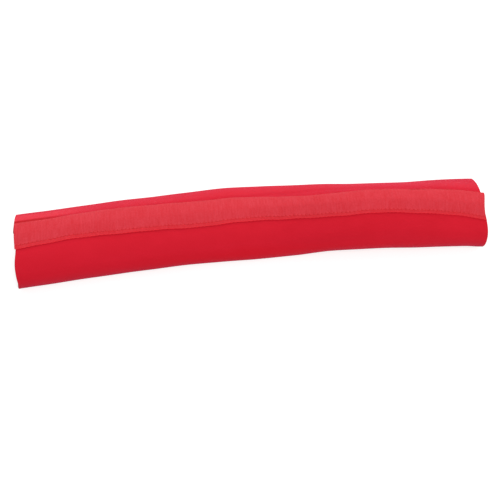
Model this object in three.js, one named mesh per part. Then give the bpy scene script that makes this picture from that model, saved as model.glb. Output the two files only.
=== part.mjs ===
import * as THREE from 'three';
import { mergeVertices } from 'three/addons/utils/BufferGeometryUtils.js';

// Wrap-round neoprene fork protector, closed and lying on the side opposite its closure.
// Millimetres. The sleeve runs along X, Z = 0 is the ground and the closure is uppermost.
// One sheet is bent round into an open tube. A loop tape sewn along one long edge and a
// hook tape sewn along the other are pressed together over the gap between the edges.

// Neoprene sheet
const LENGTH = 370; // end to end, along the ground
const SHEET_WIDTH = 137; // cut width, which goes round the fork leg
const SHEET_THICKNESS = 4; // foam with a knitted face on each side
const SEAM_GAP = 12; // between the two long edges of the sheet

// Section of the closed sleeve, measured to the middle of the sheet
const SIDE_RADIUS = 8.7; // bend at each side where the sleeve lies flattest
const OPEN_SIDE_RADIUS = 15.5; // the same bend where the sleeve has sprung open
const MOUTH_SIDE_RADIUS = 10.9; // and at the right mouth
const CROWN_ANGLE = 36; // degrees from the top of the arched upper side to each bend

// How the sleeve lies
const OPENS_FROM = -5; // it starts to spring open here, near the middle
const OPENS_TO = 92; // and is fully open here
const MOUTH_LENGTH = 60; // the right mouth flattens again over this length
const BOW = 9.8; // sideways curve, middle against ends
const OPEN_DRIFT = 5.4; // the open stretch has rolled this far forwards
const SEAM_DRIFT_WIDTH = 9; // the closure turns this far forwards at the right mouth
const SEAM_DRIFT_LENGTH = 110; // and over this length, ever faster
const END_LEAN = 7; // degrees that each mouth leans outwards at the top

// Hook and loop tapes
const TAPE_THICKNESS = 1.2;
const HOOK_TAPE_WIDTH = 25;
const HOOK_SEWN_WIDTH = 5; // part of the hook tape that lies on its own edge of the sheet
const HOOK_TAPE_PAST = 0.2; // its middle stands out this far past the right mouth
const HOOK_END_SLANT = 4; // degrees that its right end is cut off square
const LOOP_MARGIN = 1.2; // strip of the loop tape left showing past the hook tape
const LOOP_CLEARANCE = 2; // from the loop tape's free edge to the other edge of the sheet
const TAPE_END_INSET = 1.5; // both tapes end this far short of the left mouth, the loop tape of the right too

// Sewing
const THREAD_WIDTH = 0.5;
const HOOK_STITCH_INSET = 2.8; // stitch row in from the hook tape's sewn edge
const LOOP_STITCH_INSET = 0.6; // stitch row in from the loop tape's sewn edge

const CLEARANCE = 0.3; // between pieces that lie on each other

// Divisions of the bent strips
const STEPS_ALONG = 32;
const SHEET_STEPS = 44;
const HOOK_TAPE_STEPS = 20;
const LOOP_TAPE_STEPS = 6;

// Worked out from the sizes above. Distances round the section are counted from the
// middle of the seam, positive towards the viewer's side of the sleeve, which is -Y.
const PERIMETER = SHEET_WIDTH + SEAM_GAP;
const CROWN = THREE.MathUtils.degToRad(CROWN_ANGLE);
const LEAN = Math.tan(THREE.MathUtils.degToRad(END_LEAN));
const FRONT_EDGE = SEAM_GAP / 2;
const SHEET_FACE = SHEET_THICKNESS / 2;
const HOOK_SEWN_EDGE = FRONT_EDGE + HOOK_SEWN_WIDTH;
const HOOK_FREE_EDGE = HOOK_SEWN_EDGE - HOOK_TAPE_WIDTH;
const LOOP_SEWN_EDGE = HOOK_FREE_EDGE - LOOP_MARGIN;
const LOOP_FREE_EDGE = FRONT_EDGE - LOOP_CLEARANCE;
const HOOK_STITCH_ROW = HOOK_SEWN_EDGE - HOOK_STITCH_INSET;
const LOOP_STITCH_ROW = LOOP_SEWN_EDGE + LOOP_STITCH_INSET;
const HOOK_END_SLOPE = Math.tan(THREE.MathUtils.degToRad(HOOK_END_SLANT));
const TAPE_PITCH = TAPE_THICKNESS + CLEARANCE; // rise from one layer of tape to the next

// How far the section has sprung open at x, from 0 to 1, and how far the right mouth
// has flattened again.
function openingAt(x) {
  return THREE.MathUtils.smoothstep(x, OPENS_FROM, OPENS_TO);
}

function mouthAt(x) {
  return THREE.MathUtils.smoothstep(x, LENGTH / 2 - MOUTH_LENGTH, LENGTH / 2);
}

// Sideways place of the sleeve's middle line at x.
function centreLineAt(x) {
  const along = x / (LENGTH / 2);
  return BOW * (1 - along * along) - OPEN_DRIFT * openingAt(x) * (1 - mouthAt(x));
}

// How far the seam has turned towards the viewer at x.
function seamDriftAt(x) {
  const past = Math.max(0, 1 - (LENGTH / 2 - x) / SEAM_DRIFT_LENGTH);
  return SEAM_DRIFT_WIDTH * past * past;
}

// Sizes of the section at x: an arched crown, a tighter bend at each side and a flat
// underside, all tangent, whose lengths add up to the perimeter.
function sectionAt(x) {
  const opened = THREE.MathUtils.lerp(SIDE_RADIUS, OPEN_SIDE_RADIUS, openingAt(x));
  const side = THREE.MathUtils.lerp(opened, MOUTH_SIDE_RADIUS, mouthAt(x));
  const flat = (PERIMETER - 2 * Math.PI * side) / (1 + CROWN / Math.sin(CROWN));
  const crown = side + flat / (2 * Math.sin(CROWN));
  return {
    side,
    flat,
    crown,
    crownCentre: side + (side - crown) * Math.cos(CROWN),
    crownArc: crown * CROWN,
    sideArc: side * (Math.PI - CROWN),
  };
}

// Point of the closed sleeve that lies at x along it, a distance round it from the seam
// and a height off the middle of the sheet.
function pointOnSleeve(x, round, height) {
  const section = sectionAt(x);
  const fromTop = THREE.MathUtils.euclideanModulo(
    round + seamDriftAt(x) + PERIMETER / 2,
    PERIMETER,
  ) - PERIMETER / 2;
  const run = Math.abs(fromTop);

  let centreY = 0;
  let centreZ = section.crownCentre;
  let radius = section.crown;
  let angle = run / section.crown;
  if (run > section.crownArc) {
    centreY = section.flat / 2;
    centreZ = section.side;
    radius = section.side;
    angle = CROWN + (run - section.crownArc) / section.side;
  }
  if (run > section.crownArc + section.sideArc) {
    centreY = PERIMETER / 2 - run;
    angle = Math.PI;
  }

  const y = -Math.sign(fromTop) * (centreY + (radius + height) * Math.sin(angle));
  const z = SHEET_FACE + centreZ + (radius + height) * Math.cos(angle);
  const along = x / (LENGTH / 2);
  return new THREE.Vector3(
    x + along * Math.abs(along) * LEAN * z,
    y + centreLineAt(x),
    z,
  );
}

// A flat strip, cut from `from` to `to` across, bent on to the sleeve. `underside` gives
// the height of its lower face for each distance from the seam, and `endShift` how far its
// left (-1) or right (1) end moves along. Every strip bends at the same places, so that
// layers stay evenly apart.
function bentStrip(name, material, strip) {
  const { endShift = () => 0, from, to, underside, thickness, steps = 1 } = strip;
  const flat = new THREE.BoxGeometry(LENGTH, thickness, to - from, STEPS_ALONG, 1, steps);
  flat.translate(0, thickness / 2, (from + to) / 2);
  flat.deleteAttribute('normal');
  flat.deleteAttribute('uv');
  const geometry = mergeVertices(flat);

  const position = geometry.getAttribute('position');
  for (let i = 0; i < position.count; i += 1) {
    const round = position.getZ(i);
    const height = underside(round) + position.getY(i);
    const atEnd = LENGTH / 2 - Math.abs(position.getX(i)) < CLEARANCE;
    const moved = atEnd ? endShift(Math.sign(position.getX(i)), round) : 0;
    const point = pointOnSleeve(position.getX(i) + moved, round, height);
    position.setXYZ(i, point.x, point.y, point.z);
  }
  geometry.computeVertexNormals();

  const mesh = new THREE.Mesh(geometry, material);
  mesh.name = name;
  return mesh;
}

function neopreneSheet(material) {
  return bentStrip('sleeve', material, {
    from: FRONT_EDGE,
    to: PERIMETER - FRONT_EDGE,
    underside: () => -SHEET_FACE,
    thickness: SHEET_THICKNESS,
    steps: SHEET_STEPS,
  });
}

// Lower face of the tape layer that lies on the sheet.
function onSheet() {
  return SHEET_FACE + CLEARANCE;
}

// The hook tape lies on the loop tape, then steps down on to its own edge of the sheet
// before the stitch row.
function hookUnderside(round) {
  const stepEnd = HOOK_STITCH_ROW - HOOK_TAPE_WIDTH / HOOK_TAPE_STEPS;
  const down = THREE.MathUtils.smoothstep(round, LOOP_FREE_EDGE, stepEnd);
  return onSheet() + TAPE_PITCH * (1 - down);
}

// The hook tape's right end is cut nearly square to its own run, which follows the turning seam.
function hookEnd(end, round) {
  return end < 0 ? TAPE_END_INSET : HOOK_TAPE_PAST - round * HOOK_END_SLOPE;
}

function loopEnd(end) {
  return -end * TAPE_END_INSET;
}

function hookTape(material) {
  return bentStrip('hook_tape', material, {
    endShift: hookEnd,
    from: HOOK_FREE_EDGE,
    to: HOOK_SEWN_EDGE,
    underside: hookUnderside,
    thickness: TAPE_THICKNESS,
    steps: HOOK_TAPE_STEPS,
  });
}

function loopTape(material) {
  return bentStrip('loop_tape', material, {
    endShift: loopEnd,
    from: LOOP_SEWN_EDGE,
    to: LOOP_FREE_EDGE,
    underside: onSheet,
    thickness: TAPE_THICKNESS,
    steps: LOOP_TAPE_STEPS,
  });
}

// Each stitch row has a needle thread on the tape and a bobbin thread on the lining.
function stitchRow(tape, row, endShift, material) {
  const line = {
    from: row - THREAD_WIDTH / 2,
    to: row + THREAD_WIDTH / 2,
    thickness: THREAD_WIDTH,
  };
  return [
    bentStrip(`${tape}_needle_thread`, material, {
      ...line,
      endShift,
      underside: () => onSheet() + TAPE_PITCH,
    }),
    bentStrip(`${tape}_bobbin_thread`, material, {
      ...line,
      underside: () => -SHEET_FACE - CLEARANCE - THREAD_WIDTH,
    }),
  ];
}

const neoprene = new THREE.MeshStandardMaterial({ color: '#d02030', roughness: 0.95, metalness: 0 });
const tape = new THREE.MeshStandardMaterial({ color: '#dc3c48', roughness: 0.9, metalness: 0 });
const thread = new THREE.MeshStandardMaterial({ color: '#d63844', roughness: 0.8, metalness: 0 });

const protector = new THREE.Group();
protector.add(
  neopreneSheet(neoprene),
  loopTape(tape),
  hookTape(tape),
  ...stitchRow('loop', LOOP_STITCH_ROW, loopEnd, thread),
  ...stitchRow('hook', HOOK_STITCH_ROW, hookEnd, thread),
);

// The origin is the middle of the outline on the ground.
const outline = new THREE.Box3().setFromObject(protector);
const middle = outline.getCenter(new THREE.Vector3());
protector.position.set(-middle.x, -middle.y, 0);

export default protector;
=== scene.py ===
"""Looks of the fork protector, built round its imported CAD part.

Every piece of cloth here is a flat strip bent on to the same closed sleeve as in the part.
Sizes are in millimetres until a mesh is made, and Blender's own are in metres.
"""

import math

import bpy
import numpy as np
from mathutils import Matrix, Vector


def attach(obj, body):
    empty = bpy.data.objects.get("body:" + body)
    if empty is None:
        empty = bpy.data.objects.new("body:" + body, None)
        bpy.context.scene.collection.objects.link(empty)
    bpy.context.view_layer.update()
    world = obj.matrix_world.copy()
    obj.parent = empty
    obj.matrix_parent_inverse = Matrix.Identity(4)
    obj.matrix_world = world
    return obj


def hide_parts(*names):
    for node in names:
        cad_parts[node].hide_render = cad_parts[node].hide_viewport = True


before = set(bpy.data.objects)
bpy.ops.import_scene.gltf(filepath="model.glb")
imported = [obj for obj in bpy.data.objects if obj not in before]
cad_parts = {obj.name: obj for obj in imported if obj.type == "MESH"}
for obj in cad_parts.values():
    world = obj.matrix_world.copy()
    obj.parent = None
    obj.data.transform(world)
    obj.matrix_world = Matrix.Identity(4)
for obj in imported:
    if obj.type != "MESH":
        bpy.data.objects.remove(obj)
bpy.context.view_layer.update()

METRE = 0.001

# Sheet and section, as in the part
LENGTH = 370
SHEET_WIDTH = 137
SHEET_THICKNESS = 4
SEAM_GAP = 12
SIDE_RADIUS = 8.7
OPEN_SIDE_RADIUS = 15.5
MOUTH_SIDE_RADIUS = 10.9
CROWN = math.radians(36)

# How the sleeve lies, as in the part
OPENS_FROM = -5
OPENS_TO = 92
MOUTH_LENGTH = 60
BOW = 9.8
OPEN_DRIFT = 5.4
SEAM_DRIFT_WIDTH = 9
SEAM_DRIFT_LENGTH = 110
LEAN = math.tan(math.radians(7))
ORIGIN = (-1.011, -4.881)

# Tapes and sewing, as in the part
TAPE_THICKNESS = 1.2
HOOK_TAPE_WIDTH = 25
HOOK_SEWN_WIDTH = 5
HOOK_TAPE_PAST = 0.2
HOOK_END_SLANT = 4
LOOP_MARGIN = 1.2
LOOP_CLEARANCE = 2
TAPE_END_INSET = 1.5
THREAD_WIDTH = 0.5
HOOK_STITCH_INSET = 2.8
LOOP_STITCH_INSET = 0.6
CLEARANCE = 0.3

# Places that follow from the sizes
PERIMETER = SHEET_WIDTH + SEAM_GAP
FRONT_EDGE = SEAM_GAP / 2
SHEET_FACE = SHEET_THICKNESS / 2
HOOK_SEWN_EDGE = FRONT_EDGE + HOOK_SEWN_WIDTH
HOOK_FREE_EDGE = HOOK_SEWN_EDGE - HOOK_TAPE_WIDTH
LOOP_SEWN_EDGE = HOOK_FREE_EDGE - LOOP_MARGIN
LOOP_FREE_EDGE = FRONT_EDGE - LOOP_CLEARANCE
HOOK_STITCH_ROW = HOOK_SEWN_EDGE - HOOK_STITCH_INSET
LOOP_STITCH_ROW = LOOP_SEWN_EDGE + LOOP_STITCH_INSET
HOOK_END_SLOPE = math.tan(math.radians(HOOK_END_SLANT))
TAPE_PITCH = TAPE_THICKNESS + CLEARANCE
ON_SHEET = SHEET_FACE + CLEARANCE

# Finer forms that only the looks have
STITCHES = 118
STITCH_PITCH = LENGTH / (STITCHES + 1)
STITCH_ARCH = 0.22
NEEDLE_DEPTH = 0.6
# Inner and outer radius of the painted shade in each needle hole
HOLE_CORE = 0.35
HOLE_EDGE = 0.85
SEATED = CLEARANCE * 0.8
KNIT_FACE = 0.55
RIB_PITCH = 2.35
RIB_HEIGHT = 0.07
CUT_ROUNDING = 0.45
TAPE_ROUNDING = 0.2
TAPE_LAYERS = [0.25, 0.75]

# Sizes that the stitch tree takes, in metres
STITCH_SIZES = {
    "Stitch length": STITCH_PITCH * METRE,
    "Thread thickness": THREAD_WIDTH * METRE,
    "Arch": STITCH_ARCH * METRE,
    "Needle depth": NEEDLE_DEPTH * METRE,
}

# Grid points of the strips
SHEET_ROWS = 241
SHEET_COLUMNS = 139
TAPE_ROWS = 1071

# How the soft cloth has settled. Each swell gives how far it goes, and the places along the
# sleeve where it starts, peaks and ends.
BACK_SWELLS = ((1.3, -85, -12, 60), (-0.9, 60, 125, 172), (0.8, -215, -186, -140))
FRONT_SWELLS = ((0.9, -230, -140, -80), (0.8, -40, 22, 50))
SEAM_STRAYS = (
    (0.8, -80, -35, 0),
    (-2.0, -215, -130, -62),
    (2.0, 0, 52, 120),
    (-1.0, 110, 152, 230),
)
TAPE_TUCKS = ((2.7, -260, -150, -80), (3.6, -20, 55, 130), (2.8, 70, 130, 205))
CROWN_SUNK = 1.0
FRONT_SLACK = 0.35
FRONT_DRAWN_IN = 1.75

# How far the sheet's cut ends have slid along, and over what length
LEFT_SLIDE = 1.9
HIGH_SLIDE = 0.5
RIGHT_SLIDE = 1.2
SLIDE_LENGTH = 45

# Where painted highlight, painted shade and painted light change the jersey's red, across and
# along its flat pattern
HIGHLIGHT_ACROSS = (118.5, 124.5, 129.3, 131.8)
HIGHLIGHT_ALONG = (-118, -158)
# Painted shade: where the thin dark line beside the tape lies at the left mouth
SHADE_LINE_ACROSS = (129.7, 131.4)
SHADE_LINE_ALONG = (-138, -170)
# Painted light: where the low front is painted lighter
LOW_LIGHT_ACROSS = (28, 42, 65, 75)
LOW_LIGHT_ALONG = (-130, 30)

# Bars of the motif: how far each lies from the middle of the underside, its length and width
MOTIF_BARS = ((0, 190, 9), (-11.5, 120, 5), (11.5, 120, 5))

# Colours as linear light
JERSEY_RED = (0.715, 0.0100, 0.0300, 1)
JERSEY_DEEP_RED = (0.590, 0.0040, 0.0140, 1)
TAPE_RED = (0.680, 0.0415, 0.0600, 1)
TAPE_DEEP_RED = (0.600, 0.0100, 0.0180, 1)
# Painted light: a brighter red for the hook tape's stitched margin and lower edge
PAINTED_LIGHT_EDGE_RED = (0.900, 0.0300, 0.0480, 1)
# Painted highlight: the lighter red of the back shoulder
PAINTED_HIGHLIGHT_RED = (0.765, 0.0255, 0.0400, 1)
# Painted shade for the line beside the tape at the left mouth
SHADED_RED = (0.540, 0.0010, 0.0020, 1)
# Painted light: a lighter, purer red for the low front
PAINTED_LIGHT_LOW_RED = (0.750, 0.0002, 0.0080, 1)
PILE_RED = (0.700, 0.0150, 0.0270, 1)
THREAD_RED = (0.740, 0.0380, 0.0520, 1)
# Painted shade in the needle holes
PAINTED_HOLE_SHADE_RED = (0.560, 0.0060, 0.0140, 1)
FOAM_BLACK = (0.012, 0.011, 0.012, 1)
FOAM_GREY = (0.030, 0.027, 0.029, 1)
PRINT_YELLOW = (0.950, 0.720, 0.060, 1)


# The bent sleeve

def ease(value, start, end):
    """Smooth step from 0 at start to 1 at end."""
    share = np.clip((value - start) / (end - start), 0, 1)
    return share * share * (3 - 2 * share)


def swell(value, start, middle, end):
    """Smooth hump that is 1 at its middle and 0 outside its ends."""
    return ease(value, start, middle) * (1 - ease(value, middle, end))


def swells(value, humps):
    """Sum of humps, each given by how far it goes, its start, its middle and its end."""
    return sum(height * swell(value, start, middle, end) for height, start, middle, end in humps)


def opening_at(x):
    """How far the section has sprung open, from 0 to 1."""
    return ease(x, OPENS_FROM, OPENS_TO)


def mouth_at(x):
    """How far the right mouth has flattened again, from 0 to 1."""
    return ease(x, LENGTH / 2 - MOUTH_LENGTH, LENGTH / 2)


def centre_line_at(x):
    """Sideways place of the sleeve's middle line."""
    along = x / (LENGTH / 2)
    return BOW * (1 - along * along) - OPEN_DRIFT * opening_at(x) * (1 - mouth_at(x))


def seam_drift_at(x):
    """How far the seam has turned towards the front."""
    past = np.maximum(0, 1 - (LENGTH / 2 - x) / SEAM_DRIFT_LENGTH)
    return SEAM_DRIFT_WIDTH * past * past


def section_at(x):
    """Radius of the side bends, width of the flat underside, and the crown's radius and centre."""
    opened = SIDE_RADIUS + (OPEN_SIDE_RADIUS - SIDE_RADIUS) * opening_at(x)
    side = opened + (MOUTH_SIDE_RADIUS - opened) * mouth_at(x)
    flat = (PERIMETER - 2 * math.pi * side) / (1 + CROWN / math.sin(CROWN))
    crown = side + flat / (2 * math.sin(CROWN))
    return side, flat, crown, side + (side - crown) * math.cos(CROWN)


def from_top(x, across):
    """Distance round the section from its top, positive towards the front."""
    half = PERIMETER / 2
    return np.mod(across + seam_drift_at(x) + half, PERIMETER) - half


def resting_share(x, across):
    """1 where the sleeve lies flat on the ground, easing to 0 up its sides."""
    side, flat, crown, _ = section_at(x)
    run = np.abs(from_top(x, across))
    touching = crown * CROWN + side * (math.pi - CROWN)
    return ease(run, touching - side * 1.2, touching)


def slack_waves(x, across):
    """Slight unevenness of the soft sheet, which every layer on it follows."""
    waves = 0.30 * np.sin(x / 19 + 0.9 * np.sin(across / 14)) * np.sin(across / 11 + x / 47)
    waves = waves + 0.16 * np.sin(x / 8.3 + across / 9.0) * np.sin(x / 31 - across / 17)
    return waves * (1 - resting_share(x, across))


def settled_back(x):
    """How far the soft back shoulder stands out past the plain section."""
    return swells(x, BACK_SWELLS)


def settled_front(x):
    """How far the front stands out past the plain section, low down beside the ground."""
    drawn_in = FRONT_DRAWN_IN * ease(x, 36, 66) * (1 - 0.6 * ease(x, 170, LENGTH / 2))
    return swells(x, FRONT_SWELLS) + FRONT_SLACK - drawn_in


def settled(x, place, turned):
    """Uneven swelling of the soft sheet where it has settled, by the angle from the top."""
    degrees = np.degrees(turned)
    back = settled_back(x) * swell(degrees, 16, 40, 100)
    front = settled_front(x) * swell(degrees, 80, 142, 174)
    sunk = CROWN_SUNK * swell(x, -90, 20, 110) * swell(place, -28, -13, 4)
    return np.where(place < 0, back, front) - sunk


def sewn_dip(across, row, width):
    """Shallow groove that a stitch row pulls into the cloth."""
    return np.exp(-(((across - row) / width) ** 2))


def bend(x, across, height):
    """Points on the closed sleeve, in the part's own place, as an array of millimetres."""
    side, flat, crown, crown_centre = section_at(x)
    place = from_top(x, across)
    run = np.abs(place)
    crown_arc = crown * CROWN
    side_arc = side * (math.pi - CROWN)
    on_crown = run <= crown_arc
    on_ground = run > crown_arc + side_arc
    centre_y = np.where(on_crown, 0, np.where(on_ground, PERIMETER / 2 - run, flat / 2))
    centre_z = np.where(on_crown, crown_centre, side)
    radius = np.where(on_crown, crown, side)
    turned = np.where(on_crown, run / crown, CROWN + (run - crown_arc) / side)
    turned = np.where(on_ground, math.pi, turned)
    height = height + slack_waves(x, across) + settled(x, place, turned)
    y = -np.sign(place) * (centre_y + (radius + height) * np.sin(turned))
    z = SHEET_FACE + centre_z + (radius + height) * np.cos(turned)
    along = x / (LENGTH / 2)
    return np.stack(
        [x + along * np.abs(along) * LEAN * z + ORIGIN[0], y + centre_line_at(x) + ORIGIN[1], z],
        axis=-1,
    )


# Mesh of a strip of cloth

def edge_loop(rows, columns):
    """Row and column of each grid point round the strip's edge, in order."""
    first = [(0, j) for j in range(columns)]
    right = [(i, columns - 1) for i in range(1, rows)]
    last = [(rows - 1, j) for j in range(columns - 2, -1, -1)]
    left = [(i, 0) for i in range(rows - 2, 0, -1)]
    return np.array(first + right + last + left)


def cloth_strip(name, along, across, faces_at, layers, materials, wall_material_at, rounding):
    """A closed strip. faces_at gives the heights of its two faces, wander included, and layers the
    shares of the thickness at which its cut edges are divided."""
    rows = len(along)
    columns = len(across)
    x, r = np.meshgrid(along, across, indexing="ij")

    def inset(share):
        pulled = rounding * abs(2 * share - 1) ** 3
        px = x.copy()
        pr = r.copy()
        px[0] = px[0] + pulled
        px[-1] = px[-1] - pulled
        pr[:, 0] = pr[:, 0] + pulled
        pr[:, -1] = pr[:, -1] - pulled
        return px, pr

    def level(share):
        px, pr = inset(share)
        run, aside, lower, upper = faces_at(px, pr)
        points = bend(run, aside, lower + (upper - lower) * share)
        return points, np.stack([px, pr], axis=-1)

    count = rows * columns
    lower_points, lower_cloth = level(0)
    upper_points, upper_cloth = level(1)
    points = [lower_points.reshape(-1, 3), upper_points.reshape(-1, 3)]
    cloth = [lower_cloth.reshape(-1, 2), upper_cloth.reshape(-1, 2)]
    ring = edge_loop(rows, columns)
    around = ring[:, 0] * columns + ring[:, 1]
    rings = [around]
    for share in layers:
        rings.append(sum(len(part) for part in points) + np.arange(len(ring)))
        level_points, level_cloth = level(share)
        points.append(level_points[ring[:, 0], ring[:, 1]])
        cloth.append(level_cloth[ring[:, 0], ring[:, 1]])
    rings.append(around + count)

    i, j = np.meshgrid(np.arange(rows - 1), np.arange(columns - 1), indexing="ij")
    corner = (i * columns + j).ravel()
    face = np.stack([corner, corner + 1, corner + columns + 1, corner + columns], axis=1)
    faces = [face, face[:, ::-1] + count]
    slots = [np.zeros(len(face), int), np.zeros(len(face), int)]
    shares = [0, *layers, 1]
    for k in range(len(rings) - 1):
        low = rings[k]
        high = rings[k + 1]
        wall = np.stack([low, high, np.roll(high, -1), np.roll(low, -1)], axis=1)
        faces.append(wall)
        slots.append(np.full(len(wall), wall_material_at((shares[k] + shares[k + 1]) / 2)))
    return cloth_object(
        name,
        np.concatenate(points),
        np.concatenate(faces),
        np.concatenate(cloth),
        materials,
        np.concatenate(slots),
    )


def cloth_object(name, points, faces, cloth, materials, slots):
    """Object with its points in metres and a UV map that holds its flat pattern in metres."""
    mesh = bpy.data.meshes.new(name)
    mesh.from_pydata((points * METRE).tolist(), [], faces.tolist())
    pattern = mesh.uv_layers.new(name="flat_pattern")
    corners = np.empty(len(mesh.loops), int)
    mesh.loops.foreach_get("vertex_index", corners)
    pattern.data.foreach_set("uv", (cloth[corners] * METRE).astype(np.float32).ravel())
    for material in materials:
        mesh.materials.append(material)
    mesh.polygons.foreach_set("material_index", slots.astype(np.int32))
    mesh.shade_smooth()
    mesh.set_sharp_from_angle(angle=math.radians(50))
    mesh.update()
    made = bpy.data.objects.new(name, mesh)
    bpy.context.scene.collection.objects.link(made)
    return made


# Node helpers

def add_node(tree, kind, inputs=None, **settings):
    """A node with its settings and with its inputs set to values or linked from sockets."""
    node = tree.nodes.new(kind)
    for key, value in settings.items():
        setattr(node, key, value)
    for key, value in (inputs or {}).items():
        if isinstance(value, bpy.types.NodeSocket):
            tree.links.new(value, node.inputs[key])
        else:
            node.inputs[key].default_value = value
    return node


def math_node(tree, operation, *values):
    """Result of one operation on values or sockets."""
    node = add_node(tree, "ShaderNodeMath", dict(enumerate(values)), operation=operation)
    return node.outputs[0]


def mixed_colour(tree, share, first, second):
    """The first colour where share is 0 and the second where it is 1."""
    node = add_node(tree, "ShaderNodeMix", data_type="RGBA")
    for key, value in ((0, share), (6, first), (7, second)):
        if isinstance(value, bpy.types.NodeSocket):
            tree.links.new(value, node.inputs[key])
        else:
            node.inputs[key].default_value = value
    return node.outputs[2]


def cloth_material(name, roughness, sheen, sheen_tint):
    """Material with a Principled shader and its tree, ready for colour and bump."""
    material = bpy.data.materials.new(name)
    material.use_nodes = True
    tree = material.node_tree
    shader = tree.nodes["Principled BSDF"]
    shader.inputs["Roughness"].default_value = roughness
    shader.inputs["Specular IOR Level"].default_value = 0.15
    shader.inputs["Sheen Weight"].default_value = sheen
    shader.inputs["Sheen Roughness"].default_value = 0.45
    shader.inputs["Sheen Tint"].default_value = sheen_tint
    return material, tree, shader


def flat_pattern(tree):
    """The cloth's flat pattern as separate along and across, in metres."""
    pattern = add_node(tree, "ShaderNodeUVMap", uv_map="flat_pattern")
    split = add_node(tree, "ShaderNodeSeparateXYZ", {0: pattern.outputs[0]})
    return pattern.outputs[0], split.outputs[0], split.outputs[1]


def scaled_noise(tree, vector, scale, detail, stretch=(1, 1, 1)):
    """Noise whose grain is drawn out the more along an axis, the smaller its stretch value is."""
    mapping = add_node(tree, "ShaderNodeMapping", {"Vector": vector, "Scale": stretch})
    noise = add_node(
        tree,
        "ShaderNodeTexNoise",
        {"Vector": mapping.outputs[0], "Scale": scale, "Detail": detail},
    )
    return noise.outputs[0]


def thread_waves(tree, pattern, direction, scale, distortion, detail_scale):
    """Even waves along one direction of the flat pattern, slightly disturbed, as threads lie."""
    node = add_node(
        tree,
        "ShaderNodeTexWave",
        {
            "Vector": pattern,
            "Scale": scale,
            "Distortion": distortion,
            "Detail": 1.0,
            "Detail Scale": detail_scale,
        },
        bands_direction=direction,
    )
    return node.outputs[1]


def weighted_sum(tree, *parts):
    """Sum of sockets, each given with its weight."""
    total = 0.0
    for value, weight in parts:
        total = math_node(tree, "MULTIPLY_ADD", value, weight, total)
    return total


def distance(tree, one_way, other_way):
    """How far off a point is that lies so far one way and so far the other."""
    squares = (math_node(tree, "MULTIPLY", way, way) for way in (one_way, other_way))
    return math_node(tree, "SQRT", math_node(tree, "ADD", *squares))


def eased(tree, value, start, end):
    """Smooth step from 0 at start to 1 at end, which are in millimetres and may fall."""
    node = add_node(
        tree,
        "ShaderNodeMapRange",
        {"Value": value, "From Min": start * METRE, "From Max": end * METRE},
        interpolation_type="SMOOTHSTEP",
    )
    return node.outputs[0]


def between(tree, value, start, full, fading, end):
    """1 from full to fading, easing to 0 at start and end, all in millimetres."""
    rise = eased(tree, value, start, full)
    return math_node(tree, "MULTIPLY", rise, eased(tree, value, end, fading))


def bump(tree, shader, height, depth, strength=1.0):
    """Relief on the shader's normal, of a depth in metres."""
    node = add_node(
        tree,
        "ShaderNodeBump",
        {"Height": height, "Distance": depth, "Strength": strength},
    )
    tree.links.new(node.outputs[0], shader.inputs["Normal"])


# Materials

def rounded_bar(tree, along, across, middle, length, width):
    """1 inside a plain bar with round ends, printed along the sleeve. Sizes in millimetres."""
    reach = math_node(tree, "ABSOLUTE", along)
    past_end = math_node(tree, "SUBTRACT", reach, length / 2 * METRE)
    past_end = math_node(tree, "MAXIMUM", past_end, 0.0)
    aside = math_node(tree, "SUBTRACT", across, middle * METRE)
    return math_node(tree, "LESS_THAN", distance(tree, past_end, aside), width / 2 * METRE)


def red_with_painted_light_and_shade(tree, along, across, red):
    """The jersey's red with painted light and shade over the sleeve.

    A painted highlight makes the knit lighter over the back shoulder, most of all at the left
    mouth, where painted shade darkens a thin line beside the tape. Low down at the front, painted
    light makes it a lighter, purer red, most of all to the right of the middle.
    """
    # Painted highlight: the back shoulder is painted lighter, most of all at the left mouth
    highlight_band = between(tree, across, *HIGHLIGHT_ACROSS)
    highlight_fade = math_node(tree, "MULTIPLY_ADD", eased(tree, along, *HIGHLIGHT_ALONG), 0.8, 0.2)
    painted_highlight = math_node(tree, "MULTIPLY", highlight_fade, highlight_band)
    red = mixed_colour(tree, painted_highlight, red, PAINTED_HIGHLIGHT_RED)

    # Painted shade: a darker line on the jersey beside the tape's upper edge, where shade falls
    beside_tape = eased(tree, across, *SHADE_LINE_ACROSS)
    painted_shade_line = math_node(tree, "MULTIPLY", eased(tree, along, *SHADE_LINE_ALONG), beside_tape)
    red = mixed_colour(tree, painted_shade_line, red, SHADED_RED)

    # Painted light: the low front is painted a lighter, purer red, most of all to the right of the
    # middle
    low_light_band = between(tree, across, *LOW_LIGHT_ACROSS)
    opened = math_node(tree, "MULTIPLY_ADD", eased(tree, along, *LOW_LIGHT_ALONG), 0.70, 0.15)
    return mixed_colour(tree, math_node(tree, "MULTIPLY", low_light_band, opened), red, PAINTED_LIGHT_LOW_RED)


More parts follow.
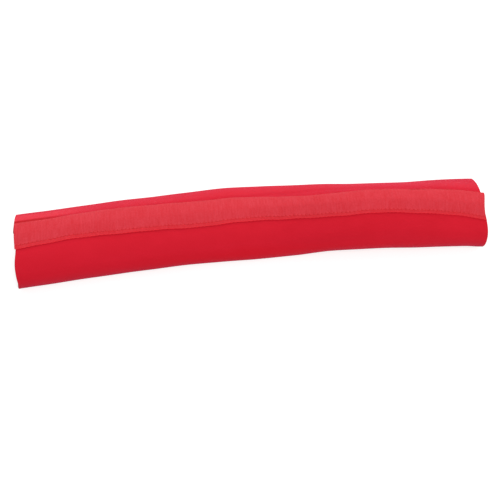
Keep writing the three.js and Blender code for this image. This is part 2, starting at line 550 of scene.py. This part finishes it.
def jersey_material():
    """Knitted nylon face of the neoprene, with a plain printed motif on its underside."""
    material, tree, shader = cloth_material(
        "knitted_jersey", roughness=0.85, sheen=0.18, sheen_tint=(0.8, 0.46, 0.85, 1))
    pattern, along, across = flat_pattern(tree)
    place = add_node(tree, "ShaderNodeTexCoord").outputs["Object"]

    mottle = scaled_noise(tree, place, 38, 4)
    fibre = scaled_noise(tree, pattern, 1150, 3, (1, 0.55, 1))
    shade = weighted_sum(tree, (mottle, 0.6), (fibre, 0.4))
    red = mixed_colour(tree, shade, JERSEY_DEEP_RED, JERSEY_RED)
    # Painted highlight, painted shade and painted light on the jersey's red, set by place on the
    # flat pattern
    red = red_with_painted_light_and_shade(tree, along, across, red)

    motif = 0.0
    for off_middle, length, width in MOTIF_BARS:
        bar = rounded_bar(tree, along, across, PERIMETER / 2 + off_middle, length, width)
        motif = math_node(tree, "MAXIMUM", motif, bar)
    colour = mixed_colour(tree, motif, red, PRINT_YELLOW)
    tree.links.new(colour, shader.inputs["Base Color"])

    columns = thread_waves(tree, pattern, "Y", scale=700, distortion=1.2, detail_scale=2)
    courses = thread_waves(tree, pattern, "X", scale=520, distortion=1.2, detail_scale=2)
    knit = math_node(tree, "MULTIPLY", columns, courses)
    raised = weighted_sum(tree, (knit, 1.0), (fibre, 0.8))
    bare = math_node(tree, "MULTIPLY_ADD", motif, -0.7, 1.0)
    bump(tree, shader, math_node(tree, "MULTIPLY", raised, bare), depth=0.00012, strength=0.8)
    return material


def foam_material():
    """Closed-cell black foam, as it shows at the cut edges."""
    material, tree, shader = cloth_material(
        "black_foam", roughness=0.9, sheen=0.05, sheen_tint=(1, 1, 1, 1))
    place = add_node(tree, "ShaderNodeTexCoord").outputs["Object"]
    cells = add_node(tree, "ShaderNodeTexVoronoi", {"Vector": place, "Scale": 2600.0})
    colour = mixed_colour(tree, cells.outputs[0], FOAM_BLACK, FOAM_GREY)
    tree.links.new(colour, shader.inputs["Base Color"])
    bump(tree, shader, cells.outputs[0], depth=0.0002)
    return material


def painted_hole_shade(tree, along, across, row):
    """1 at the painted shade in each needle hole along a stitch row, fading to 0 beside it."""
    pitch = STITCH_PITCH * METRE
    steps = math_node(tree, "ADD", math_node(tree, "DIVIDE", along, pitch), (STITCHES + 1) / 2)
    off = math_node(tree, "SUBTRACT", math_node(tree, "FRACT", steps), 0.5)
    off = math_node(tree, "MULTIPLY", off, pitch)
    aside = math_node(tree, "SUBTRACT", across, row * METRE)
    return eased(tree, distance(tree, off, aside), HOLE_EDGE, HOLE_CORE)


def hook_tape_material():
    """Woven back of the hook tape: fine ribs across it, with uneven yarns."""
    material, tree, shader = cloth_material(
        "ribbed_nylon_tape", roughness=0.75, sheen=0.05, sheen_tint=(1.0, 0.6, 0.6, 1))
    pattern, along, across = flat_pattern(tree)
    yarns = scaled_noise(tree, pattern, 860, 3, (1, 0.10, 1))
    grain = scaled_noise(tree, pattern, 780, 2, (1, 0.8, 1))
    patches = scaled_noise(tree, pattern, 90, 3, (1, 0.6, 1))
    sewn = math_node(tree, "GREATER_THAN", across, (HOOK_STITCH_ROW + 0.4) * METRE)
    shade = weighted_sum(tree, (yarns, 0.5), (patches, 0.3), (grain, 0.4), (sewn, -0.15))
    steep = add_node(
        tree,
        "ShaderNodeMapRange",
        {"Value": shade, "From Min": 0.25, "From Max": 0.75},
    )
    red = mixed_colour(tree, steep.outputs[0], TAPE_DEEP_RED, TAPE_RED)
    # Painted shade in the needle holes along the stitch row
    hole_shade = painted_hole_shade(tree, along, across, HOOK_STITCH_ROW)
    hole_shade = math_node(tree, "MULTIPLY", hole_shade, 0.8)
    red = mixed_colour(tree, hole_shade, red, PAINTED_HOLE_SHADE_RED)
    # Painted light: the stitched margin is painted a brighter red
    painted_light_margin = math_node(tree, "MULTIPLY", sewn, 0.25)
    red = mixed_colour(tree, painted_light_margin, red, PAINTED_LIGHT_EDGE_RED)
    # Painted light: the lower edge is painted bright red against the shade that falls under it
    painted_light_selvedge = math_node(tree, "GREATER_THAN", across, (HOOK_SEWN_EDGE - 0.35) * METRE)
    red = mixed_colour(tree, painted_light_selvedge, red, PAINTED_LIGHT_EDGE_RED)
    tree.links.new(red, shader.inputs["Base Color"])

    weft = thread_waves(tree, pattern, "X", scale=780, distortion=0.8, detail_scale=3)
    warp = thread_waves(tree, pattern, "Y", scale=430, distortion=0.8, detail_scale=3)
    weave = math_node(tree, "MAXIMUM", weft, math_node(tree, "MULTIPLY", warp, 0.7))
    bump(tree, shader, math_node(tree, "ADD", weave, yarns), depth=0.00010, strength=0.8)
    return material


def loop_tape_material():
    """Brushed loop pile, softer and duller than the woven tape."""
    material, tree, shader = cloth_material(
        "brushed_loop_pile", roughness=0.95, sheen=0.15, sheen_tint=(1.0, 0.5, 0.55, 1))
    pattern, _, _ = flat_pattern(tree)
    fuzz = scaled_noise(tree, pattern, 1500, 4)
    tufts = scaled_noise(tree, pattern, 420, 2)
    shade = math_node(tree, "MULTIPLY", math_node(tree, "ADD", fuzz, tufts), 0.5)
    red = mixed_colour(tree, shade, TAPE_DEEP_RED, PILE_RED)
    tree.links.new(red, shader.inputs["Base Color"])
    bump(tree, shader, shade, depth=0.0006)
    return material


def thread_material():
    """Twisted polyester sewing thread."""
    material, tree, shader = cloth_material(
        "twisted_thread", roughness=0.6, sheen=0.1, sheen_tint=(1, 1, 1, 1))
    place = add_node(tree, "ShaderNodeTexCoord").outputs["Object"]
    twist = add_node(
        tree,
        "ShaderNodeTexWave",
        {"Vector": place, "Scale": 900.0, "Distortion": 0.5},
        bands_direction="DIAGONAL",
    )
    colour = mixed_colour(tree, twist.outputs[1], THREAD_RED, TAPE_DEEP_RED)
    tree.links.new(colour, shader.inputs["Base Color"])
    bump(tree, shader, twist.outputs[1], depth=0.00006)
    return material


# Sheet and tapes

def mouth_shift(x, across):
    """How far the sheet's cut ends have slid along: inwards below the tape at the left mouth,
    outwards at its two bends, and outwards at the front of the right mouth."""
    below_tape = LEFT_SLIDE * (1 - ease(across, 9, 26))
    low_bend = LEFT_SLIDE * swell(across, 36, 45, 58)
    high_bend = HIGH_SLIDE * swell(across, 96, 119, 138)
    at_left = 1 - ease(x, -LENGTH / 2, SLIDE_LENGTH - LENGTH / 2)
    at_right = ease(x, LENGTH / 2 - SLIDE_LENGTH, LENGTH / 2)
    left = (below_tape - low_bend - high_bend) * at_left
    return left + RIGHT_SLIDE * at_right * swell(across, 2, 20, 60)


def sheet_faces(x, across):
    """Place and two heights of the sheet, whose front edge strays with the seam."""
    aside = across + broad_wander(x) * (1 - ease(across, FRONT_EDGE, FRONT_EDGE + 35))
    dip = 0.15 * sewn_dip(across, HOOK_STITCH_ROW, 1.6)
    dip = dip + 0.15 * sewn_dip(across - PERIMETER, LOOP_STITCH_ROW, 1.6)
    return x + mouth_shift(x, across), aside, -SHEET_FACE + dip * 0.6, SHEET_FACE - dip


def make_sleeve(jersey, foam):
    along = np.linspace(-LENGTH / 2, LENGTH / 2, SHEET_ROWS)
    across = np.linspace(FRONT_EDGE, PERIMETER - FRONT_EDGE, SHEET_COLUMNS)
    knit = KNIT_FACE / SHEET_THICKNESS
    layers = [knit * 0.35, knit, 0.5, 1 - knit, 1 - knit * 0.35]

    def wall_material_at(share):
        return 1 if knit < share < 1 - knit else 0

    return cloth_strip(
        "neoprene_sleeve", along, across, sheet_faces, layers, [jersey, foam],
        wall_material_at, CUT_ROUNDING,
    )


def yarn_slope_at(x):
    """Slope of the hook tape's yarns, which turn with the seam near the right mouth."""
    return HOOK_END_SLOPE * np.maximum(0, 1 - (LENGTH / 2 - x) / SEAM_DRIFT_LENGTH)


def hook_run(u, across):
    """Place on the sleeve of a point u along the hook tape, whose yarns lie square to its run."""
    share = u / LENGTH + 0.5
    near_end = ease(u, LENGTH / 2 - 12, LENGTH / 2)
    hollow = near_end * swell(across, HOOK_FREE_EDGE, 0, HOOK_SEWN_EDGE + 2)
    run = u + TAPE_END_INSET * (1 - share) + HOOK_TAPE_PAST * share - across * yarn_slope_at(u)
    return run - hollow


def loop_run(u, across):
    """Place on the sleeve of a point u along the loop tape, the same all across it."""
    return u - TAPE_END_INSET * u / (LENGTH / 2)


def needle_holes(u, across, row):
    """Depth share of the small holes along a stitch row, one at each end of every stitch."""
    phase = (u + LENGTH / 2) / STITCH_PITCH - 0.5
    nearest = np.round(phase)
    off = (phase - nearest) * STITCH_PITCH
    inside = (nearest >= 0) & (nearest <= STITCHES)
    return np.exp(-(off / 0.45) ** 2 - ((across - row) / 0.45) ** 2) * inside


def broad_wander(u):
    """How far the seam strays across its line, over long stretches."""
    return swells(u, SEAM_STRAYS) + 0.3 * ease(u, -60, 60)


def tape_wander(u):
    """How far the hand-fed tape strays across its line."""
    return broad_wander(u) + 0.20 * np.sin(u / 9.7) + 0.15 * np.sin(u / 4.1 + 2)


def tuck(u):
    """How far the tapes' upper edges are drawn in towards the seam."""
    return swells(u, TAPE_TUCKS) + 1.5 * ease(u, -140, -70)


def hook_strays(u, across):
    """How far a point of the hook tape strays across the tape's line."""
    return tape_wander(u) + tuck(u) * (1 - ease(across, HOOK_FREE_EDGE, HOOK_STITCH_ROW - 2))


def ribs(u, across, low_edge, high_edge):
    """Weft ribs across the tape, of uneven height, fading out at the selvedges."""
    uneven = 0.5 + 0.5 * np.sin(u / 3.7 + across / 2.9) * np.sin(u / 11.9 + across / 5.3 + 1)
    body = ease(across, low_edge, low_edge + 1.2) * (1 - ease(across, high_edge - 1.2, high_edge))
    return RIB_HEIGHT * uneven * body * np.cos(2 * math.pi * u / RIB_PITCH)


def pressed_loops(across):
    """Thickness of the loop tape, whose free edge is pressed thin under the hook tape."""
    return 0.8 * TAPE_THICKNESS * (1 - 0.8 * ease(across, -6, 2.5))


def hook_tape_faces(u, across):
    """Place and two heights of the hook tape, which steps down on to its own edge of the sheet."""
    raised = 1 - ease(across, -3, HOOK_STITCH_ROW - 0.6)
    seated = SEATED * ease(across, LOOP_FREE_EDGE, HOOK_STITCH_ROW)
    lower = ON_SHEET + 0.85 * TAPE_PITCH * raised - seated
    margin = ease(across, HOOK_STITCH_ROW, HOOK_SEWN_EDGE)
    dip = sewn_dip(across, HOOK_STITCH_ROW, 1.1)
    thin_edge = 0.35 * (1 - ease(across, HOOK_FREE_EDGE, HOOK_FREE_EDGE + 3))
    upper = lower + TAPE_THICKNESS - 0.45 * margin - thin_edge
    upper = upper + ribs(u, across, HOOK_FREE_EDGE, HOOK_STITCH_ROW - 1) - 0.03 * dip
    upper = upper - 0.2 * needle_holes(u, across, HOOK_STITCH_ROW)
    pucker = margin * 0.15 * np.cos(2 * math.pi * u / STITCH_PITCH)
    narrow = 0.5 * ease(u, -60, 60) * margin
    aside = across + hook_strays(u, across) + pucker - narrow
    return hook_run(u, across), aside, lower, upper


def make_hook_tape(material):
    along = np.linspace(-LENGTH / 2, LENGTH / 2, TAPE_ROWS)
    fine = np.linspace(HOOK_STITCH_ROW - 1.5, HOOK_STITCH_ROW + 1.5, 9)
    across = np.concatenate([
        np.linspace(HOOK_FREE_EDGE, HOOK_STITCH_ROW - 1.5, 22)[:-1],
        fine,
        np.linspace(HOOK_STITCH_ROW + 1.5, HOOK_SEWN_EDGE, 4)[1:],
    ])
    return cloth_strip(
        "hook_tape_cloth", along, across, hook_tape_faces, TAPE_LAYERS, [material],
        lambda share: 0, TAPE_ROUNDING,
    )


def loop_strays(u, across):
    """How far a point of the loop tape strays across the tape's line."""
    drawn = tuck(u) * (1 - ease(across, LOOP_SEWN_EDGE + 1.5, LOOP_FREE_EDGE))
    return broad_wander(u) + drawn + 0.25 * np.sin(u / 31) + 0.15 * np.sin(u / 6.1 + 2)


def loop_tape_faces(u, across):
    """Place and two heights of the loop tape, whose pile stands up along the margin that shows."""
    lower = np.full_like(u, ON_SHEET)
    margin = 1 - ease(across, HOOK_FREE_EDGE - 0.6, HOOK_FREE_EDGE + 0.4)
    pile = margin * (0.25 + 0.12 * np.sin(u * 2.3) * np.sin(u * 0.61 + across * 3))
    upper = lower + pressed_loops(across) + pile
    upper = upper - 0.5 * needle_holes(u, across, LOOP_STITCH_ROW)
    upper = upper - 0.2 * sewn_dip(across, LOOP_STITCH_ROW, 0.6)
    return loop_run(u, across), across + loop_strays(u, across), lower, upper


def make_loop_tape(material):
    along = np.linspace(-LENGTH / 2, LENGTH / 2, TAPE_ROWS)
    across = np.concatenate([
        np.linspace(LOOP_SEWN_EDGE, HOOK_FREE_EDGE + 1, 13),
        np.linspace(HOOK_FREE_EDGE + 1, LOOP_FREE_EDGE, 10)[1:],
    ])
    return cloth_strip(
        "loop_tape_cloth", along, across, loop_tape_faces, TAPE_LAYERS, [material],
        lambda share: 0, TAPE_ROUNDING,
    )


# Stitches

def stitch_tree():
    """Geometry nodes that put one arched stitch on each point of a seam line."""
    tree = bpy.data.node_groups.new("lockstitch_row", "GeometryNodeTree")
    ports = tree.interface
    ports.new_socket("Seam line", in_out="INPUT", socket_type="NodeSocketGeometry")
    for name, value in STITCH_SIZES.items():
        port = ports.new_socket(name, in_out="INPUT", socket_type="NodeSocketFloat")
        port.default_value = value
    ports.new_socket("Thread", in_out="INPUT", socket_type="NodeSocketMaterial")
    ports.new_socket("Stitches", in_out="OUTPUT", socket_type="NodeSocketGeometry")

    given = tree.nodes.new("NodeGroupInput").outputs
    half = math_node(tree, "MULTIPLY", given["Stitch length"], 0.5)
    back = math_node(tree, "MULTIPLY", half, -1.0)
    below = math_node(tree, "MULTIPLY", given["Needle depth"], -1.0)

    def corner(x, z):
        return add_node(tree, "ShaderNodeCombineXYZ", {"X": x, "Z": z}).outputs[0]

    arch = add_node(
        tree,
        "GeometryNodeCurvePrimitiveBezierSegment",
        {
            "Resolution": 6,
            "Start": corner(back, below),
            "Start Handle": corner(back, given["Arch"]),
            "End Handle": corner(half, given["Arch"]),
            "End": corner(half, below),
        },
    )
    strand = add_node(
        tree,
        "GeometryNodeCurvePrimitiveCircle",
        {"Resolution": 6, "Radius": math_node(tree, "MULTIPLY", given["Thread thickness"], 0.5)},
    )
    stitch = add_node(
        tree,
        "GeometryNodeCurveToMesh",
        {"Curve": arch.outputs[0], "Profile Curve": strand.outputs[0], "Fill Caps": True},
    )
    heading = add_node(
        tree, "GeometryNodeInputNamedAttribute", {"Name": "heading"}, data_type="FLOAT_VECTOR")
    outward = add_node(
        tree, "GeometryNodeInputNamedAttribute", {"Name": "outward"}, data_type="FLOAT_VECTOR")
    turned = add_node(
        tree,
        "FunctionNodeAxesToRotation",
        {0: outward.outputs[0], 1: heading.outputs[0]},
        primary_axis="Z",
        secondary_axis="X",
    )
    placed = add_node(
        tree,
        "GeometryNodeInstanceOnPoints",
        {
            "Points": given["Seam line"],
            "Instance": stitch.outputs[0],
            "Rotation": turned.outputs[0],
        },
    )
    real = add_node(tree, "GeometryNodeRealizeInstances", {"Geometry": placed.outputs[0]})
    sewn = add_node(
        tree,
        "GeometryNodeSetMaterial",
        {"Geometry": real.outputs[0], "Material": given["Thread"]},
    )
    result = tree.nodes.new("NodeGroupOutput")
    tree.links.new(sewn.outputs[0], result.inputs[0])
    return tree


def plain_mesh(worked, name):
    """A plain mesh object from what an object's modifiers make, in place of that object."""
    graph = bpy.context.evaluated_depsgraph_get()
    mesh = bpy.data.meshes.new_from_object(worked.evaluated_get(graph))
    mesh.name = name
    mesh.shade_smooth()
    bpy.data.objects.remove(worked)
    made = bpy.data.objects.new(name, mesh)
    bpy.context.scene.collection.objects.link(made)
    return made


def make_stitches(name, tree, row, height, facing, run_at, strays_at, thread):
    """One thread of a stitch row. Facing is 1 on the tape and -1 on the lining."""
    u = -LENGTH / 2 + STITCH_PITCH * (np.arange(STITCHES) + 1)

    def sewn_at(forward, lifted):
        along = u + forward
        aside = np.full_like(u, row)
        aside = aside + strays_at(along, aside)
        return bend(run_at(along, aside), aside, np.full_like(u, height + lifted))

    here = sewn_at(0, 0)
    ahead = STITCH_PITCH / 4
    heading = sewn_at(ahead, 0) - sewn_at(-ahead, 0)
    outward = (sewn_at(0, 1) - here) * facing

    mesh = bpy.data.meshes.new(name)
    mesh.from_pydata((here * METRE).tolist(), [], [])
    for key, values in (("heading", heading), ("outward", outward)):
        stored = mesh.attributes.new(key, "FLOAT_VECTOR", "POINT")
        stored.data.foreach_set("vector", values.astype(np.float32).ravel())
    line = bpy.data.objects.new(name + "_line", mesh)
    bpy.context.scene.collection.objects.link(line)
    sewing = line.modifiers.new("sewing", "NODES")
    sewing.node_group = tree
    chosen = {**STITCH_SIZES, "Thread": thread}
    for socket in tree.interface.items_tree:
        if socket.name in chosen:
            sewing[socket.identifier] = chosen[socket.name]
    return plain_mesh(line, name)


# Stage, lights and camera

def seen_directly(tree):
    """1 for what the camera sees straight, in gloss or through glass."""
    path = add_node(tree, "ShaderNodeLightPath")
    gloss = math_node(
        tree, "MAXIMUM", path.outputs["Is Camera Ray"], path.outputs["Is Glossy Ray"])
    return math_node(tree, "MAXIMUM", gloss, path.outputs["Is Transmission Ray"])


def make_floor():
    material = bpy.data.materials.new("white_paper")
    material.use_nodes = True
    tree = material.node_tree
    tree.nodes.clear()
    paper = add_node(tree, "ShaderNodeBsdfDiffuse", {"Color": (0.5, 0.5, 0.5, 1)})
    glow = add_node(
        tree,
        "ShaderNodeEmission",
        {"Strength": math_node(tree, "MULTIPLY", seen_directly(tree), 0.70)},
    )
    both = add_node(tree, "ShaderNodeAddShader", {0: paper.outputs[0], 1: glow.outputs[0]})
    output = add_node(tree, "ShaderNodeOutputMaterial")
    tree.links.new(both.outputs[0], output.inputs["Surface"])

    mesh = bpy.data.meshes.new("floor")
    reach = 4
    corners = [(-reach, -reach, 0), (reach, -reach, 0), (reach, reach, 0), (-reach, reach, 0)]
    mesh.from_pydata(corners, [], [(0, 1, 2, 3)])
    mesh.materials.append(material)
    floor = bpy.data.objects.new("floor", mesh)
    floor.location.z = -0.0002
    bpy.context.scene.collection.objects.link(floor)
    return floor


def light_the_room():
    world = bpy.data.worlds.new("room")
    world.use_nodes = True
    tree = world.node_tree
    tree.nodes.clear()
    seen = seen_directly(tree)
    strength = math_node(tree, "ADD", 0.47, math_node(tree, "MULTIPLY", seen, 0.53))
    sky = add_node(tree, "ShaderNodeBackground", {"Color": (1, 1, 1, 1), "Strength": strength})
    output = add_node(tree, "ShaderNodeOutputWorld")
    tree.links.new(sky.outputs[0], output.inputs["Surface"])
    bpy.context.scene.world = world

    for name, place, size, power in (
        ("softbox_behind", (-0.05, 1.25, 1.05), 1.0, 17.5),
        ("softbox_front", (0.6, -1.1, 1.25), 1.2, 16),
    ):
        lamp = bpy.data.lights.new(name, "AREA")
        lamp.shape = "SQUARE"
        lamp.size = size
        lamp.energy = power
        stand = bpy.data.objects.new(name, lamp)
        stand.location = place
        stand.rotation_euler = (-Vector(place)).to_track_quat("-Z", "Y").to_euler()
        bpy.context.scene.collection.objects.link(stand)


def make_camera():
    elevation = math.radians(54.31)
    azimuth = math.radians(-5.787)
    distance = 1.0027
    aside = 0.00025
    lowered = 0.00804
    back = Vector((
        math.sin(azimuth) * math.cos(elevation),
        -math.cos(azimuth) * math.cos(elevation),
        math.sin(elevation),
    ))
    right = Vector((math.cos(azimuth), math.sin(azimuth), 0))
    up = back.cross(right)
    target = Vector((ORIGIN[0] * METRE, ORIGIN[1] * METRE, 0))
    lens = bpy.data.cameras.new("camera")
    lens.sensor_width = 36
    lens.lens = 88.2
    lens.clip_start = 0.05
    lens.clip_end = 20
    camera = bpy.data.objects.new("camera", lens)
    camera.rotation_euler = back.to_track_quat("Z", "Y").to_euler()
    camera.location = target + back * distance + right * aside - up * lowered
    bpy.context.scene.collection.objects.link(camera)
    bpy.context.scene.camera = camera


# Assembly

def main():
    make_camera()
    light_the_room()
    make_floor()

    jersey = jersey_material()
    thread = thread_material()
    sleeve = make_sleeve(jersey, foam_material())
    hook_tape = make_hook_tape(hook_tape_material())
    loop_tape = make_loop_tape(loop_tape_material())

    tree = stitch_tree()
    on_tape = ON_SHEET + TAPE_THICKNESS
    on_margin = on_tape - SEATED
    on_pile = ON_SHEET + pressed_loops(LOOP_STITCH_ROW) + 0.15
    under_lining = -SHEET_FACE
    rows = []
    for name, row, height, facing, run_at, strays_at in (
        ("hook_tape_stitches", HOOK_STITCH_ROW, on_margin, 1, hook_run, hook_strays),
        ("hook_lining_stitches", HOOK_STITCH_ROW, under_lining, -1, hook_run, hook_strays),
        ("loop_tape_stitches", LOOP_STITCH_ROW, on_pile, 1, loop_run, loop_strays),
        ("loop_lining_stitches", LOOP_STITCH_ROW, under_lining, -1, loop_run, loop_strays),
    ):
        rows.append(make_stitches(name, tree, row, height, facing, run_at, strays_at, thread))
    hook_needle, hook_bobbin, loop_needle, loop_bobbin = rows

    for piece, node, slot in (
        (sleeve, "sleeve", "neoprene"),
        (hook_tape, "hook_tape", "hook_tape"),
        (loop_tape, "loop_tape", "loop_tape"),
        (hook_needle, "hook_needle_thread", "thread"),
        (hook_bobbin, "hook_bobbin_thread", "thread"),
        (loop_needle, "loop_needle_thread", "thread"),
        (loop_bobbin, "loop_bobbin_thread", "thread"),
    ):
        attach(piece, "root")
        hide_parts(node)
    bpy.context.scene.view_settings.view_transform = "Standard"


main()
